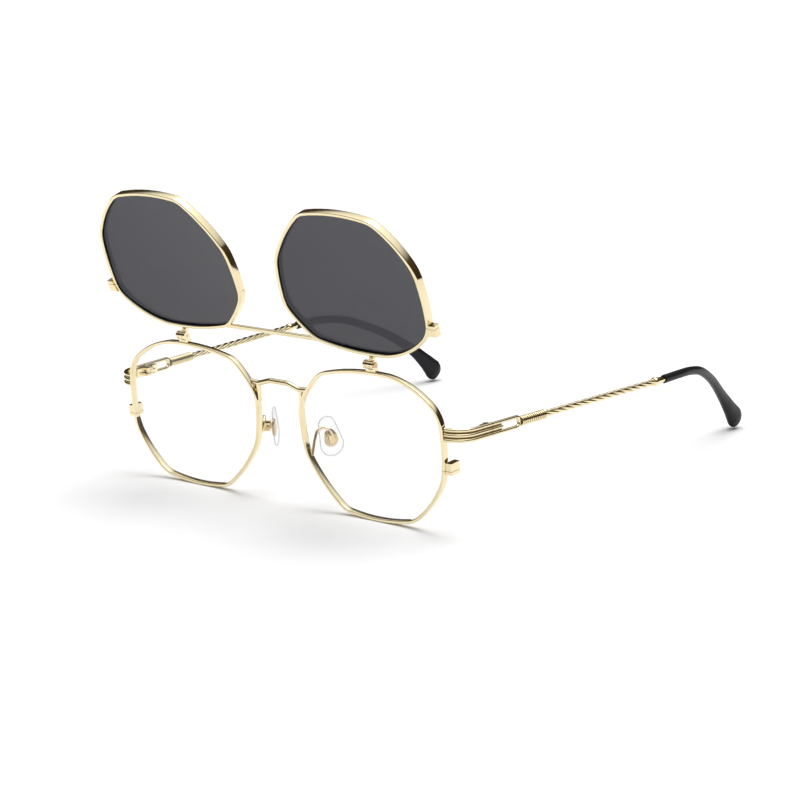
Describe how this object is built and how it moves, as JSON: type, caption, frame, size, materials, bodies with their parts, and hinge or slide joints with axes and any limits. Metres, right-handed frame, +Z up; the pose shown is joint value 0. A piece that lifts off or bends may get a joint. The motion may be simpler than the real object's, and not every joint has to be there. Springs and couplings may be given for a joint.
{
  "type": "flip up sunglasses",
  "caption": "Metal spectacle frame with clear lenses, hinged dark lenses that flip up above the brow, folding twisted wire temples and rocking nose pads.",
  "frame": {"origin": "on the table, under the middle of the part's box, with the flip frame up", "axes": "+X to the right temple as drawn, +Y from the lenses back along the temples, +Z up"},
  "size_m": [0.1464, 0.1708, 0.0903],
  "materials": {
    "gold_metal": "polished",
    "screw_metal": "polished",
    "clear_lens": "clear, polished",
    "dark_lens": "smoke grey, polished",
    "pad_silicone": "clear, soft",
    "tip_black": "satin black"
  },
  "bodies": {
    "front": {"bridge": "gold_metal", "end_piece_left": "gold_metal", "end_piece_right": "gold_metal", "flip_bracket_left": "gold_metal", "flip_bracket_right": "gold_metal", "flip_pins": "screw_metal", "front_hinge_left": "gold_metal", "front_hinge_right": "gold_metal", "hinge_screws": "screw_metal", "lens_left": "clear_lens", "lens_right": "clear_lens", "lock_lower_left": "gold_metal", "lock_lower_right": "gold_metal", "lock_screws": "screw_metal", "lock_upper_left": "gold_metal", "lock_upper_right": "gold_metal", "pad_arm_left": "gold_metal", "pad_arm_right": "gold_metal", "pad_box_left": "gold_metal", "pad_box_right": "gold_metal", "pad_screws": "screw_metal", "rim_left": "gold_metal", "rim_right": "gold_metal"},
    "flip": {"flip_bar": "gold_metal", "flip_lens_left": "dark_lens", "flip_lens_right": "dark_lens", "flip_lock_lower_left": "gold_metal", "flip_lock_lower_right": "gold_metal", "flip_lock_screws": "screw_metal", "flip_lock_upper_left": "gold_metal", "flip_lock_upper_right": "gold_metal", "flip_lug_left": "gold_metal", "flip_lug_right": "gold_metal", "flip_rim_left": "gold_metal", "flip_rim_right": "gold_metal"},
    "temple_right": {"bead_collar_right": "gold_metal", "ferrule_right": "gold_metal", "temple_hinge_right": "gold_metal", "temple_loop_right": "gold_metal", "temple_tip_right": "tip_black", "twisted_bar_right": "gold_metal"},
    "temple_left": {"bead_collar_left": "gold_metal", "ferrule_left": "gold_metal", "temple_hinge_left": "gold_metal", "temple_loop_left": "gold_metal", "temple_tip_left": "tip_black", "twisted_bar_left": "gold_metal"},
    "pad_right": {"nose_pad_right": "pad_silicone", "pad_stem_right": "gold_metal"},
    "pad_left": {"nose_pad_left": "pad_silicone", "pad_stem_left": "gold_metal"}
  },
  "joints": [
    {"name": "flip_hinge", "type": "hinge", "parent": "front", "child": "flip", "pos_m": [0, -0.07099, 0.04588], "axis": [1, 0, 0], "range_deg": [0, 165]},
    {"name": "temple_right_fold", "type": "hinge", "parent": "front", "child": "temple_right", "pos_m": [0.06401, -0.05653, 0.02897], "axis": [0, 0, 1], "range_deg": [0, 91]},
    {"name": "temple_left_fold", "type": "hinge", "parent": "front", "child": "temple_left", "pos_m": [-0.06401, -0.05653, 0.02897], "axis": [0, 0, 1], "range_deg": [-72, 0]},
    {"name": "pad_right_rock", "type": "hinge", "parent": "front", "child": "pad_right", "pos_m": [0.0122, -0.0605, 0.01969], "axis": [-0.4901, -0.8317, -0.2608], "range_deg": [-8, 8]},
    {"name": "pad_left_rock", "type": "hinge", "parent": "front", "child": "pad_left", "pos_m": [-0.0122, -0.0605, 0.01969], "axis": [0.4901, -0.8317, -0.2608], "range_deg": [-8, 8]}
  ]
}
